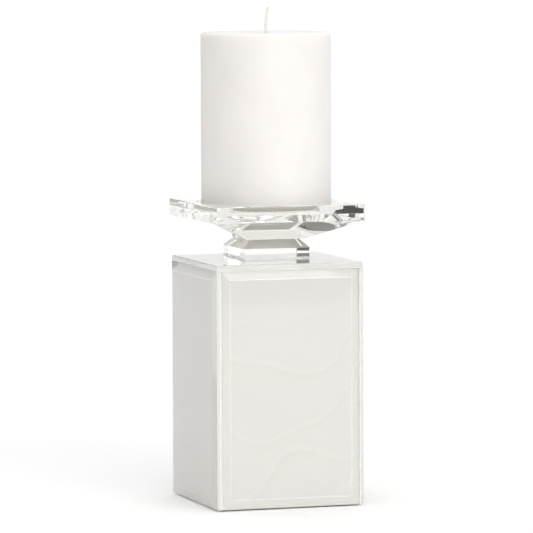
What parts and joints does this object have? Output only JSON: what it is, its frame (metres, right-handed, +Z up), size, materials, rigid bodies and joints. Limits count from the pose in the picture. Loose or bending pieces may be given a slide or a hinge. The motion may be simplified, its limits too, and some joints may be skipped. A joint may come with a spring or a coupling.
{
  "type": "pillar candle holder",
  "caption": "Square pillar-candle holder: wooden core clad in bevelled glass over marbled white film, with a crystal foot and dish, and a lift-out candle.",
  "frame": {"origin": "middle of the underside of the felt pad, where the holder stands", "axes": "+X along the width, +Y into the depth with the front face towards -Y, +Z up"},
  "size_m": [0.0914, 0.0914, 0.2894],
  "materials": {
    "core_wood": "matt",
    "clear_glass": "polished",
    "marbled_film": "satin",
    "felt": "matt",
    "clear_adhesive": "gloss",
    "crystal": "polished",
    "wax": "satin",
    "wick": "matt"
  },
  "bodies": {
    "holder": {"core_front_board": "core_wood", "core_back_board": "core_wood", "core_left_board": "core_wood", "core_right_board": "core_wood", "core_bottom_board": "core_wood", "core_top_board": "core_wood", "glass_panel_front": "clear_glass", "glass_panel_back": "clear_glass", "glass_panel_left": "clear_glass", "glass_panel_right": "clear_glass", "glass_top_plate": "clear_glass", "marble_film_front": "marbled_film", "marble_film_back": "marbled_film", "marble_film_left": "marbled_film", "marble_film_right": "marbled_film", "marble_film_top": "marbled_film", "base_felt": "felt", "foot_bond_film": "clear_adhesive", "crystal_foot": "crystal", "dish_bond_film": "clear_adhesive", "crystal_dish": "crystal"},
    "candle": {"candle_wax": "wax", "candle_wick": "wick"}
  },
  "joints": [
    {"name": "candle_lift", "type": "slide", "parent": "holder", "child": "candle", "axis": [0, 0, 1], "range_m": [0, 0.12]}
  ]
}
